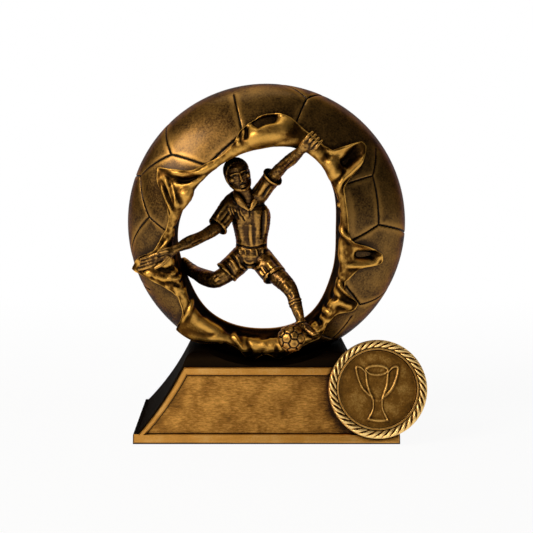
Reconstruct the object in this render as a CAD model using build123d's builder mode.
from build123d import *
import os
from math import cos, radians, sin, sqrt, tan

# Football trophy, cast in cold-cast resin: a flared plinth with a framed name plate and a
# 25 mm medal centre, a flattened football with a torn hole through it, and a player who
# kicks a small ball and holds on to the torn skin. Millimetres, +Z up, the front is -Y and
# the origin is the middle of the underside. Left and right limbs are the player's own.

# ------------------------------------------------------------------ driving dimensions
# Plinth
plinth_height = 28.0
foot_width = 86.0
foot_height = 2.8
foot_step = 1.0  # how far the foot stands out from the flare
top_width = 51.0
flare_hollow = 1.5  # how far the flared ends curve in from a straight line
plinth_depth = 49.0
front_lean = 17.0  # degrees back from upright, both faces
shoulder_radius = 2.5
brow_radius = 3.5
corner_radius = 1.2

# Felt
felt_thickness = 1.2
felt_proud = 0.4
felt_inset = 3.0
felt_clearance = 0.2

# Name plate and its frame, laid on the leaning front
frame_inset = 0.9
frame_thickness = 1.3
frame_top = 24.6  # up the slope
frame_side_bar = 2.1
frame_top_bar = 2.5
frame_bottom_bar = 3.2
frame_lift = 0.3  # edge of the foot left bare round the frame's lower bar
frame_bevel = 0.4
plate_gap = 0.35
plate_thickness = 0.7

# Medal
medal_diameter = 31.7
medal_thickness = 3.0
medal_across = 35.8  # from the middle of the plinth
medal_up_slope = 17.5
medal_centre_diameter = 25.0
medal_centre_clearance = 0.1
medal_centre_thickness = 1.2
bead_radius = 0.5
rim_sides = 8  # flats that round off the rope and the bead
rope_radius = 1.15
rope_strands = 46
strand_groove = 0.35
strand_slant = 32.0
bead_gap = 0.05
cup_ridge = 0.45
cup_relief = 0.35
cup_rim_half = 3.5
cup_rim_up = 6.0  # up the slope from the medal's middle, like the rest of the cup
cup_rim_flatness = 0.37
cup_waist_half = 1.5
cup_waist_up = -3.6
cup_foot_half = 3.0
cup_foot_up = -9.3
handle_reach = 6.6
handle_up = 7.2
handle_root_up = -1.6
handle_root_gap = 0.9

# Football ring
ball_radius = 46.0
ball_half_depth = 23.0
seat_sink = 1.2  # how far the ring sinks past the saddle's radius
saddle_width = 38.0
hole_centre_x = -3.0
hole_centre_drop = 4.5  # below the middle of the ball
seam_width = 0.5
seam_depth = 0.5
blade_reach = (0.85, 1.12)  # shares of the skin's distance between which a seam's blade cuts
dowel_diameter = 3.0
dowel_length = 11.0
dowel_spacing = 16.0
dowel_clearance = 0.05
dowel_chamfer = 0.3

# Torn skin
lining_thickness = 2.0
peel_thickness = 1.2
roll_sides = 8
roll_seating = 0.9  # share of a rolled edge's radius that it stands proud of the skin

# Player
match_ball_radius = 4.5
finger_radius = 0.7
finger_pitch = 1.15
finger_sides = 8
collar_radius = 2.9
collar_roll = 0.6
collar_sides = 6
head_place = (-9.5, -3.0, 85.3)
head_height = 11.5
head_width = 8.7
head_depth = 9.8
head_lean = 17.0  # degrees, crown towards the player's right
head_turn = 12.0  # degrees, towards the player's left
face_third = 0.285  # share of the height from chin to nose, nose to brow, brow to hair
nose_width = 0.16  # share of the width
nose_reach = 0.58  # share of the depth, from the head's middle
ear_spread = 0.535  # share of the width, from the head's middle
ear_depth = 0.09  # half the ear's width, as a share of the depth
neck_radius = 2.2

os.makedirs("parts", exist_ok=True)

# ------------------------------------------------------------------ worked-out places
base_level = felt_proud
plinth_top = base_level + plinth_height
saddle_radius = ball_radius - seat_sink
ball_height = plinth_top + sqrt(saddle_radius**2 - (saddle_width / 2) ** 2)
ball_centre = Vector(0, 0, ball_height)
hole_centre = Vector(hole_centre_x, 0, ball_height - hole_centre_drop)
ball_middle = Plane.XZ

front = Plane(
    origin=(0, -plinth_depth / 2, base_level),
    x_dir=(1, 0, 0),
    z_dir=(0, -cos(radians(front_lean)), sin(radians(front_lean))),
)
medal_face = Plane(
    origin=front.from_local_coords((medal_across, medal_up_slope, 0)),
    x_dir=front.x_dir,
    z_dir=front.z_dir,
)


def flare_half_width(height):
    """Half width of the plinth at a height above its underside."""
    rise = (height - foot_height) / (plinth_height - foot_height)
    foot_half = foot_width / 2 - foot_step
    straight = foot_half + (top_width / 2 - foot_half) * rise
    return straight - 4 * flare_hollow * rise * (1 - rise)


def slope_half_width(along, inset):
    """Half width of the leaning front at a distance up its slope, less an inset."""
    return flare_half_width(along * cos(radians(front_lean))) - inset


def slope_panel(low, high, inset):
    """Flat face, to lay on the leaning front, whose ends follow the plinth's flare."""
    middle = (low + high) / 2
    with BuildSketch() as panel:
        with BuildLine():
            right = [(slope_half_width(s, inset), s) for s in (low, middle, high)]
            left = [(-x, s) for x, s in reversed(right)]
            ThreePointArc(*right)
            Line(right[-1], left[0])
            ThreePointArc(*left)
            Line(left[-1], right[0])
        make_face()
    return panel.sketch


def spheroid(radius, half_depth):
    """Ball flattened front to back, turned from a half ellipse about the Y axis."""
    with BuildPart() as body:
        with BuildSketch(Plane.XY.offset(ball_height)):
            with BuildLine():
                EllipticalCenterArc((0, 0), radius, half_depth, start_angle=-90, arc_size=180)
                Line((0, half_depth), (0, -half_depth))
            make_face()
        revolve(axis=Axis(ball_centre, (0, 1, 0)))
    return body.part


def front_depth(x, z):
    """How far in front of the middle plane the ball's skin is at a place."""
    share = (x**2 + (z - ball_height) ** 2) / ball_radius**2
    return ball_half_depth * sqrt(max(0.0, 1 - share))


# Hole through the ball: clock angle from +X, and distance from the hole's own centre
hole_outline = [
    (0, 26.8),
    (35, 30.2),
    (62, 33.0),
    (90, 30.0),
    (118, 27.3),
    (150, 26.2),
    (180, 27.3),
    (212, 28.4),
    (240, 31.8),
    (270, 33.0),
    (300, 33.4),
    (330, 29.2),
]


def hole_reach(angle):
    """Distance from the hole's centre to its edge, between the outline's points."""
    angle %= 360
    rows = hole_outline + [(360, hole_outline[0][1])]
    for (a0, r0), (a1, r1) in zip(rows, rows[1:]):
        if a0 <= angle <= a1:
            return r0 + (r1 - r0) * (angle - a0) / (a1 - a0)
    return hole_outline[0][1]


def round_hole(angle, past):
    """Place in the front view at a clock angle, a distance past the hole's edge."""
    reach = hole_reach(angle) + past
    return (
        hole_centre.X + reach * cos(radians(angle)),
        hole_centre.Z + reach * sin(radians(angle)),
    )


def hole_face(grow):
    """Flat face of the hole's outline, grown outwards."""
    with BuildSketch() as outline:
        with BuildLine():
            Spline(*[round_hole(angle, grow) for angle, _ in hole_outline], periodic=True)
        make_face()
    return outline.sketch


def limb_sections(path, sizes, reference=(0, 1, 0), sides=0):
    """Ellipses, or polygons, square to a path, one at each point, ready to be lofted."""
    points = [Vector(p) for p in path]
    sections = []
    for index, (point, (across, along)) in enumerate(zip(points, sizes)):
        before = points[max(index - 1, 0)]
        after = points[min(index + 1, len(points) - 1)]
        tangent = (after - before).normalized()
        side = tangent.cross(Vector(*reference)).normalized()
        with BuildSketch(Plane(origin=point, x_dir=side, z_dir=tangent)) as section:
            if sides:
                RegularPolygon(across, sides)
            else:
                Ellipse(across, along)
        sections.append(section.sketch)
    return sections


def save(builder, name):
    """Label a finished piece and write it as its own STEP file."""
    builder.part.label = name
    export_step(builder.part, f"parts/{name}.step")


# ------------------------------------------------------------------ plinth
ball_form = spheroid(ball_radius, ball_half_depth)
dowel_places = [(-dowel_spacing / 2, 0), (dowel_spacing / 2, 0)]
dowel_middle = ball_height - ball_radius
lean_run = plinth_height * tan(radians(front_lean))

with BuildPart() as plinth:
    with BuildSketch(Plane.XZ) as front_profile:
        with BuildLine():
            foot_half = foot_width / 2
            levels = (foot_height, (foot_height + plinth_height) / 2, plinth_height)
            ends = [(flare_half_width(level), base_level + level) for level in levels]
            Polyline(
                (0, base_level),
                (foot_half, base_level),
                (foot_half, base_level + foot_height),
                ends[0],
            )
            ThreePointArc(*ends)
            Line(ends[-1], (0, plinth_top))
            mirror(about=Plane.YZ)
        make_face()
        fillet(front_profile.vertices().group_by(Axis.Y)[-1], radius=shoulder_radius)
    extrude(amount=plinth_depth, both=True)
    with BuildSketch(Plane.YZ) as side_profile:
        with BuildLine():
            half = plinth_depth / 2
            Polyline(
                (-half, base_level),
                (half, base_level),
                (half - lean_run, plinth_top),
                (-half + lean_run, plinth_top),
                close=True,
            )
        make_face()
        fillet(side_profile.vertices().group_by(Axis.Y)[-1], radius=brow_radius)
    extrude(amount=foot_width, both=True, mode=Mode.INTERSECT)
    with BuildSketch(Plane.XZ):
        with Locations((0, ball_height)):
            Circle(saddle_radius)
    extrude(amount=plinth_depth, both=True, mode=Mode.SUBTRACT)
    add(ball_form, mode=Mode.SUBTRACT)
    with BuildSketch(Plane.XY.offset(base_level)):
        RectangleRounded(foot_width - 2 * felt_inset, plinth_depth - 2 * felt_inset, felt_inset)
    extrude(amount=felt_thickness - felt_proud, mode=Mode.SUBTRACT)
    with BuildSketch(Plane.XY.offset(dowel_middle - dowel_length / 2)):
        with Locations(*dowel_places):
            Circle(dowel_diameter / 2 + dowel_clearance)
    extrude(amount=dowel_length, mode=Mode.SUBTRACT)
save(plinth, "plinth")

with BuildPart() as felt_pad:
    with BuildSketch():
        RectangleRounded(
            foot_width - 2 * (felt_inset + felt_clearance),
            plinth_depth - 2 * (felt_inset + felt_clearance),
            felt_inset - felt_clearance,
        )
    extrude(amount=felt_thickness)
save(felt_pad, "felt_pad")

with BuildPart() as ring_dowels:
    with BuildSketch(Plane.XY.offset(dowel_middle - dowel_length / 2)):
        with Locations(*dowel_places):
            Circle(dowel_diameter / 2)
    extrude(amount=dowel_length)
    chamfer(ring_dowels.edges().filter_by(GeomType.CIRCLE), length=dowel_chamfer)
save(ring_dowels, "ring_dowels")

# ------------------------------------------------------------------ medal
medal_radius = medal_diameter / 2
recess_radius = medal_centre_diameter / 2 + medal_centre_clearance
rope_line = medal_radius - rope_radius
bead_line = recess_radius + bead_radius + bead_gap
rope_middle = medal_face.offset(medal_thickness)
medal_section = Plane(medal_face.origin, x_dir=medal_face.x_dir, z_dir=-medal_face.y_dir)

with BuildPart() as medal_holder:
    with BuildSketch(medal_face):
        Circle(medal_radius)
    extrude(amount=medal_thickness)
    with BuildSketch(medal_section):
        for line, radius in ((rope_line, rope_radius), (bead_line, bead_radius)):
            with Locations((line, medal_thickness)):
                RegularPolygon(
                    radius, rim_sides, major_radius=False, rotation=180 / rim_sides
                )
    revolve(axis=Axis(medal_face.origin, medal_face.z_dir))
    with BuildSketch(rope_middle.offset(-medal_centre_thickness)):
        Circle(recess_radius)
    extrude(amount=medal_thickness, mode=Mode.SUBTRACT)
    with BuildSketch(rope_middle.offset(rope_radius - strand_groove)) as strand_grooves:
        with PolarLocations(rope_line, rope_strands):
            Rectangle(2.2 * rope_radius, strand_groove, rotation=strand_slant)
    extrude(amount=rope_radius, mode=Mode.SUBTRACT)
save(medal_holder, "medal_holder")

with BuildPart() as medal_disc:
    disc_floor = rope_middle.offset(-medal_centre_thickness)
    with BuildSketch(disc_floor):
        Circle(medal_centre_diameter / 2)
    extrude(amount=medal_centre_thickness)
    with BuildSketch(rope_middle):
        with BuildLine():
            bowl = Spline(
                (cup_rim_half, cup_rim_up),
                (cup_rim_half * 0.9, (cup_rim_up + cup_waist_up) / 2),
                (cup_waist_half, cup_waist_up),
                tangents=[(0, -1), (-0.2, -1)],
            )
            Spline(bowl @ 1, (cup_foot_half, cup_foot_up), tangents=[(-0.2, -1), (1, -0.6)])
            Line((cup_foot_half, cup_foot_up), (0, cup_foot_up))
        trace(line_width=cup_ridge)
        with BuildLine():
            Spline(
                (cup_rim_half, cup_rim_up),
                (handle_reach, handle_up),
                (handle_reach * 0.72, (handle_up + handle_root_up) / 2),
                (cup_waist_half + handle_root_gap, handle_root_up),
            )
        trace(line_width=cup_ridge)
        mirror(about=Plane.YZ)
        with Locations((0, cup_rim_up)):
            rim_rise = cup_rim_half * cup_rim_flatness
            Ellipse(cup_rim_half, rim_rise)
            Ellipse(cup_rim_half - cup_ridge, rim_rise - cup_ridge, mode=Mode.SUBTRACT)
    extrude(amount=cup_relief)
save(medal_disc, "medal_disc")

# ------------------------------------------------------------------ plaque
with BuildPart() as plaque_frame:
    with BuildSketch(front):
        add(slope_panel(foot_height, frame_top, frame_inset))
        with Locations((0, foot_height / 2 + frame_lift)):
            Rectangle(foot_width - 2 * frame_lift, foot_height)
        window_low = frame_bottom_bar
        window_high = frame_top - frame_top_bar
        add(
            slope_panel(window_low, window_high, frame_inset + frame_side_bar),
            mode=Mode.SUBTRACT,
        )
    extrude(amount=frame_thickness)
    outer_edges = plaque_frame.faces().sort_by(Axis(front.origin, front.z_dir))[-1].edges()
    chamfer(outer_edges, length=frame_bevel)
    with BuildSketch(medal_face):
        Circle(medal_radius)
    extrude(amount=2 * frame_thickness, mode=Mode.SUBTRACT)
save(plaque_frame, "plaque_frame")

with BuildPart() as name_plate:
    with BuildSketch(front):
        plate_inset = frame_inset + frame_side_bar + plate_gap
        add(slope_panel(window_low + plate_gap, window_high - plate_gap, plate_inset))
    extrude(amount=plate_thickness)
    with BuildSketch(medal_face):
        Circle(medal_radius)
    extrude(amount=2 * plate_thickness, mode=Mode.SUBTRACT)
save(name_plate, "name_plate")

# ------------------------------------------------------------------ football ring
# Seam junctions: clock angle from +X, and share of the ball's radius
seam_points = {
    "top": (104, 0.95),
    "top_inner": (104, 0.715),
    "upper_left_inner": (133, 0.60),
    "upper_left": (142.5, 0.84),
    "upper_left_rim": (134, 1.0),
    "left_high": (158.5, 0.962),
    "left_high_rim": (160, 1.0),
    "left_waist": (175, 0.83),
    "left_inner": (183, 0.68),
    "left_low": (186, 0.953),
    "left_low_rim": (196, 1.0),
    "left_foot": (209, 0.96),
    "left_foot_rim": (205, 1.0),
    "left_foot_inner": (222, 0.80),
    "right_top": (72.5, 0.94),
    "right_top_rim": (84, 1.0),
    "right_top_side": (66, 1.0),
    "right_top_inner": (75, 0.70),
    "right_high": (35, 0.944),
    "right_high_low": (26, 0.83),
    "right_high_inner": (29, 0.66),
    "right_waist": (1.5, 0.79),
    "right_waist_inner": (-8, 0.60),
    "right_waist_rim": (-4, 1.0),
    "right_low": (-40, 0.87),
    "right_low_inner": (-34, 0.60),
    "right_low_rim": (-26, 1.0),
    "right_foot": (-47, 0.89),
    "right_foot_low": (-60, 0.95),
    "right_foot_inner": (-64, 0.85),
}
seam_lines = [
    ("top", "top_inner"),
    ("top_inner", "upper_left_inner"),
    ("upper_left_inner", "upper_left"),
    ("upper_left", "upper_left_rim"),
    ("upper_left", "left_high"),
    ("left_high", "left_high_rim"),
    ("left_high", "left_waist"),
    ("left_waist", "left_inner"),
    ("left_waist", "left_low"),
    ("left_low", "left_low_rim"),
    ("left_foot_rim", "left_foot"),
    ("left_foot", "left_foot_inner"),
    ("right_top", "right_top_rim"),
    ("right_top", "right_top_inner"),
    ("right_top", "right_top_side"),
    ("right_high", "right_high_low"),
    ("right_high_low", "right_high_inner"),
    ("right_high_low", "right_waist"),
    ("right_waist", "right_waist_inner"),
    ("right_waist", "right_waist_rim"),
    ("right_low", "right_low_inner"),
    ("right_low", "right_low_rim"),
    ("right_foot", "right_foot_low"),
    ("right_foot_low", "right_foot_inner"),
]


def skin_point(name, facing):
    """Place of a seam junction, out from the middle of the ball."""
    clock, share = seam_points[name]
    depth = ball_half_depth * sqrt(max(0.0, 1 - share**2))
    across = ball_radius * share
    return Vector(across * cos(radians(clock)), facing * depth, across * sin(radians(clock)))


with BuildPart() as seam_blades:
    for start_name, end_name in seam_lines:
        for facing in (-1, 1):
            start = skin_point(start_name, facing)
            end = skin_point(end_name, facing)
            blade_plane = Plane(origin=ball_centre, x_dir=start, z_dir=start.cross(end))
            inner, outer = blade_reach
            corners = [start * inner, start * outer, end * outer, end * inner]
            with BuildSketch(blade_plane):
                with BuildLine():
                    flat = [blade_plane.to_local_coords(ball_centre + c) for c in corners]
                    Polyline(*[(p.X, p.Y) for p in flat], close=True)
                make_face()
            extrude(amount=seam_width / 2, both=True)
    add(spheroid(ball_radius - seam_depth, ball_half_depth - seam_depth), mode=Mode.SUBTRACT)

with BuildPart() as ball_blank:
    with BuildSketch(ball_middle):
        with Locations((0, ball_height)):
            Circle(1.2 * ball_radius)
        add(hole_face(lining_thickness), mode=Mode.SUBTRACT)
    extrude(amount=ball_radius, both=True)
    add(ball_form, mode=Mode.INTERSECT)

with BuildPart() as ball_shell:
    add(ball_blank.part)
    add(seam_blades.part, mode=Mode.SUBTRACT)
    with BuildSketch(Plane.XY.offset(dowel_middle - dowel_length / 2)):
        with Locations(*dowel_places):
            Circle(dowel_diameter / 2 + dowel_clearance)
    extrude(amount=dowel_length, mode=Mode.SUBTRACT)
save(ball_shell, "ball_shell")

# Torn edge of the peeled skin, in stretches from corner to corner: clock angle round the
# hole's centre and reach past the hole's edge
torn_edge = [
    [(98, 7.0), (87, 10.2), (77, 9.4), (67, 6.1), (57, 4.7), (51, 5.4)],
    [(51, 5.4), (47, 10.0), (44, 13.9)],
    [(44, 13.9), (41, 14.1), (37, 10.5), (34, 4.0), (28, 2.3), (7, 2.4)],
    [(7, 2.4), (1, 3.6), (-2, 8.8), (-5.5, 12.8)],
    [(-5.5, 12.8), (-10, 12.6), (-14, 6.6), (-24, 2.3)],
    [(-24, 2.3), (-28.5, 3.2), (-31.5, 8.4)],
    [(-31.5, 8.4), (-36, 7.9), (-42, 4.1), (-50, 2.6)],
    [(-50, 2.6), (-57, 4.5), (-65, 3.9), (-80, 5.9)],
    [(-80, 5.9), (-86, 4.3), (-93.5, 6.9)],
    [(-93.5, 6.9), (-100, 3.0), (-107, 2.4)],
    [(-107, 2.4), (-112, 4.0), (-121, 7.4), (-132, 8.6)],
    [(-132, 8.6), (-136, 3.4), (-145, 2.4)],
    [(-145, 2.4), (-153, 5.1), (-161, 9.6), (-167, 13.2)],
    [(-167, 13.2), (-172, 10.5), (-176, 5.3), (-188, 2.4)],
    [(-188, 2.4), (-196, 2.8), (-206, 6.3), (-211, 10.6), (-217, 12.9)],
    [(-217, 12.9), (-222, 8.4), (-229, 4.3), (-242, 2.6)],
    [(-242, 2.6), (-249, 2.4), (-257, 4.0), (-262, 7.0)],
]

# Rolled edges: radius at the thickest place, and the places that the roll runs through
rolled_edges = [
    (2.4, [(99, 3.4), (87, 4.8), (76, 3.4)]),
    (1.2, [(50, 3.8), (46.5, 8.6), (44, 12.6)]),
    (1.1, [(41, 12.6), (38, 8.8), (34.5, 3.4)]),
    (0.9, [(18, 1.2), (3, 2.6), (-5, 11.4)]),
    (0.9, [(-22, 1.2), (-28, 2.8), (-31, 7.2)]),
    (0.9, [(143, 11.6), (138, 7.4), (128, 3.2)]),
    (1.2, [(-218, 11.4), (-210, 7.6), (-204, 2.6)]),
    (1.1, [(-166, 11.6), (-172, 8.6), (-178, 3.0)]),
    (0.9, [(-132, 7.4), (-137, 2.6), (-147, 1.2)]),
    (1.0, [(-80, 4.6), (-86, 3.2), (-93, 5.4)]),
]
roll_taper = (0.6, 1.0, 0.5)


def skin_path(places, proud):
    """Path over the ball's front skin, standing proud of it."""
    flat = [round_hole(angle, past) for angle, past in places]
    return [(x, -front_depth(x, z) - proud, z) for x, z in flat]


with BuildPart() as torn_collar:
    with BuildSketch(ball_middle):
        add(hole_face(lining_thickness))
    extrude(amount=-ball_radius)
    with BuildSketch(ball_middle):
        with BuildLine():
            for stretch in torn_edge:
                Spline(*[round_hole(angle, past) for angle, past in stretch])
        make_face()
    extrude(amount=ball_radius)
    with BuildSketch(ball_middle):
        add(hole_face(0))
    extrude(amount=ball_radius, both=True, mode=Mode.SUBTRACT)
    peel_form = spheroid(ball_radius + peel_thickness, ball_half_depth + peel_thickness)
    add(peel_form, mode=Mode.INTERSECT)
    for radius, places in rolled_edges:
        sizes = [(radius * share, radius * share) for share in roll_taper]
        path = skin_path(places, peel_thickness + (roll_seating - 1) * radius)
        loft(limb_sections(path, sizes, sides=roll_sides), ruled=True)
    with BuildSketch(ball_middle):
        add(hole_face(0))
    extrude(amount=ball_radius, both=True, mode=Mode.SUBTRACT)
    add(ball_blank.part, mode=Mode.SUBTRACT)
    add(plinth.part, mode=Mode.SUBTRACT)
save(torn_collar, "torn_collar")

# ------------------------------------------------------------------ player
finger_sizes = [(finger_radius * s, finger_radius * s) for s in (1.0, 0.97, 0.7)]

with BuildPart() as shirt:
    spine = [
        (-5.0, 2.0, 60.5),
        (-5.1, 1.4, 64.0),
        (-5.3, 0.5, 69.0),
        (-5.9, 0.0, 73.0),
        (-6.0, -0.3, 76.2),
        (-5.9, -0.9, 77.8),
    ]
    girths = [(5.5, 4.2), (5.1, 4.0), (6.0, 4.4), (6.3, 4.4), (5.2, 3.6), (2.8, 2.7)]
    loft(limb_sections(spine, girths))
    right_sleeve = [(-9.0, 0.4, 74.4), (-12.5, -1.2, 71.6), (-16.4, -4.2, 67.8)]
    loft(limb_sections(right_sleeve, [(3.4, 3.4), (3.2, 3.2), (3.5, 3.5)]))
    left_sleeve = [(-4.0, 0.0, 76.0), (-0.8, -2.0, 80.2), (2.4, -5.0, 85.0)]
    loft(limb_sections(left_sleeve, [(3.4, 3.4), (3.2, 3.2), (3.4, 3.4)]))
    neckline = Plane(Location((-5.9, -0.9, 77.6), (10, -10, 0)))
    with BuildSketch(Plane(neckline.origin, x_dir=neckline.x_dir, z_dir=-neckline.y_dir)):
        with Locations((collar_radius, 0)):
            RegularPolygon(collar_roll, collar_sides)
    revolve(axis=Axis(neckline.origin, neckline.z_dir))
save(shirt, "shirt")

with BuildPart() as shorts:
    seat = [(-5.0, 2.0, 61.4), (-5.0, 2.4, 58.0), (-5.0, 2.8, 54.4)]
    loft(limb_sections(seat, [(5.7, 4.4), (6.6, 4.9), (5.2, 4.0)]))
    right_short = [(-8.0, 2.8, 57.0), (-11.4, 1.6, 53.9), (-14.6, 0.2, 51.4)]
    loft(limb_sections(right_short, [(4.4, 4.4), (4.3, 4.3), (4.2, 4.2)]))
    left_short = [(-2.0, 2.6, 57.0), (0.6, -0.6, 54.2), (3.2, -3.8, 51.6)]
    loft(limb_sections(left_short, [(4.4, 4.4), (4.3, 4.3), (4.2, 4.2)]))
    add(shirt.part, mode=Mode.SUBTRACT)
save(shorts, "shorts")

# The head's sections from chin to crown: level above its middle, half width, half depth
# and how far ahead of its middle, as shares of its height, width, depth and depth
skull_shares = [
    (-0.50, 0.17, 0.14, 0.22),
    (-0.38, 0.32, 0.30, 0.12),
    (-0.20, 0.43, 0.41, 0.05),
    (0.07, 0.49, 0.48, 0.00),
    (0.32, 0.43, 0.44, -0.02),
    (0.50, 0.16, 0.18, -0.03),
]
head_frame = Plane(Location(head_place, (0, -head_lean, head_turn)))
head_profile = Plane(head_frame.origin, x_dir=head_frame.y_dir, z_dir=head_frame.x_dir)
nose_level = (face_third - 0.5) * head_height
brow_level = (2 * face_third - 0.5) * head_height
neck_top = head_frame.from_local_coords((0, 0, nose_level))

with BuildPart() as head:
    for level, wide, deep, ahead in skull_shares:
        with BuildSketch(head_frame.offset(level * head_height)):
            with Locations((0, -ahead * head_depth)):
                Ellipse(wide * head_width, deep * head_depth)
    loft()
    with BuildSketch(head_profile):
        with BuildLine():
            Polyline(
                (0, brow_level),
                (-0.48 * head_depth, brow_level),
                (-nose_reach * head_depth, nose_level + nose_width * head_width / 2),
                (0, nose_level),
                close=True,
            )
        make_face()
    extrude(amount=nose_width * head_width / 2, both=True)
    with BuildSketch(head_profile):
        with Locations((0, (nose_level + brow_level) / 2)):
            Ellipse(ear_depth * head_depth, face_third * head_height / 2)
    extrude(amount=ear_spread * head_width, both=True)
    neck = [neckline.origin, neck_top]
    loft(limb_sections(neck, [(neck_radius, neck_radius)] * len(neck)))
    add(shirt.part, mode=Mode.SUBTRACT)
    add(torn_collar.part, mode=Mode.SUBTRACT)
save(head, "head")

with BuildPart() as right_arm:
    reach = [
        (-14.4, -2.8, 69.4),
        (-18.0, -5.6, 67.1),
        (-22.0, -9.4, 65.2),
        (-26.0, -13.6, 63.9),
        (-29.5, -17.2, 62.4),
    ]
    loft(limb_sections(reach, [(2.2, 2.2), (2.15, 2.15), (2.0, 2.0), (1.8, 1.8), (1.3, 1.3)]))
    palm = [(-29.2, -16.9, 62.5), (-32.2, -18.2, 61.2), (-35.8, -18.4, 59.4)]
    loft(limb_sections(palm, [(1.4, 1.2), (2.2, 1.2), (2.0, 1.0)]))
    for step in (-1.5, -0.5, 0.5, 1.5):
        spread = step * finger_pitch
        knuckle = (-35.0 + 0.4 * spread, -18.5, 59.7 + spread)
        finger = [knuckle, (-38.2, -17.7, 58.4 + spread), (-40.8, -15.4, 57.4 + 0.9 * spread)]
        loft(limb_sections(finger, finger_sizes, sides=finger_sides), ruled=True)
    add(shirt.part, mode=Mode.SUBTRACT)
    add(torn_collar.part, mode=Mode.SUBTRACT)
    add(ball_blank.part, mode=Mode.SUBTRACT)
save(right_arm, "right_arm")

with BuildPart() as left_arm:
    reach = [
        (1.0, -3.6, 83.0),
        (3.4, -6.6, 86.4),
        (6.0, -10.0, 89.4),
        (9.0, -15.4, 92.2),
        (11.2, -19.4, 94.6),
    ]
    loft(limb_sections(reach, [(2.2, 2.2), (2.1, 2.1), (2.0, 2.0), (1.75, 1.75), (1.3, 1.3)]))
    palm = [(10.2, -18.0, 93.6), (12.8, -20.2, 96.0), (15.0, -19.6, 98.0)]
    loft(limb_sections(palm, [(1.5, 1.3), (2.3, 1.35), (2.5, 1.1)]))
    for step in (-1.5, -0.5, 0.5, 1.5):
        spread = step * finger_pitch
        knuckle = (14.2 + spread, -19.7, 97.6 - spread)
        tip = (16.2 + spread, -16.6, 101.0 - spread)
        finger = [knuckle, (15.4 + spread, -19.0, 99.6 - spread), tip]
        loft(limb_sections(finger, finger_sizes, sides=finger_sides), ruled=True)
    add(shirt.part, mode=Mode.SUBTRACT)
    add(torn_collar.part, mode=Mode.SUBTRACT)
    add(ball_blank.part, mode=Mode.SUBTRACT)
save(left_arm, "left_arm")

with BuildPart() as right_leg:
    swing = [
        (-10.0, 2.4, 53.8),
        (-14.2, 0.6, 51.2),
        (-17.3, 0.6, 49.7),
        (-20.6, 4.0, 49.8),
        (-24.6, 9.4, 51.0),
    ]
    loft(limb_sections(swing, [(3.0, 3.0), (2.9, 2.9), (2.7, 2.7), (2.4, 2.4), (1.7, 1.7)]))
    add(shorts.part, mode=Mode.SUBTRACT)
save(right_leg, "right_leg")

with BuildPart() as left_leg:
    stand = [
        (2.4, -2.8, 52.4),
        (4.8, -5.2, 50.6),
        (7.4, -8.0, 48.4),
        (9.2, -10.4, 44.6),
        (10.2, -11.8, 41.6),
        (10.9, -12.9, 38.4),
    ]
    loft(
        limb_sections(
            stand, [(3.2, 3.2), (3.0, 3.0), (2.6, 2.6), (2.3, 2.3), (1.9, 1.9), (1.5, 1.5)]
        )
    )
    add(shorts.part, mode=Mode.SUBTRACT)
save(left_leg, "left_leg")

with BuildPart() as right_boot:
    foot = [(-23.8, 8.4, 50.6), (-26.2, 11.4, 51.8), (-28.9, 13.6, 54.6)]
    loft(limb_sections(foot, [(2.0, 1.9), (2.1, 1.9), (1.1, 1.0)]))
    add(right_leg.part, mode=Mode.SUBTRACT)
    add(torn_collar.part, mode=Mode.SUBTRACT)
save(right_boot, "right_boot")

with BuildPart() as left_boot:
    foot = [(10.0, -9.8, 36.9), (11.2, -13.2, 37.0), (13.2, -16.8, 36.2), (15.4, -19.4, 35.2)]
    upward = (0, 0, 1)
    loft(limb_sections(foot, [(1.4, 1.4), (1.8, 1.8), (1.9, 1.4), (1.1, 0.8)], upward))
    add(left_leg.part, mode=Mode.SUBTRACT)
    add(torn_collar.part, mode=Mode.SUBTRACT)
    add(ball_blank.part, mode=Mode.SUBTRACT)
save(left_boot, "left_boot")

with BuildPart() as match_ball:
    with Locations((8.0, -19.0, 33.9)):
        Sphere(match_ball_radius)
    add(torn_collar.part, mode=Mode.SUBTRACT)
    add(ball_blank.part, mode=Mode.SUBTRACT)
    add(left_boot.part, mode=Mode.SUBTRACT)
save(match_ball, "match_ball")
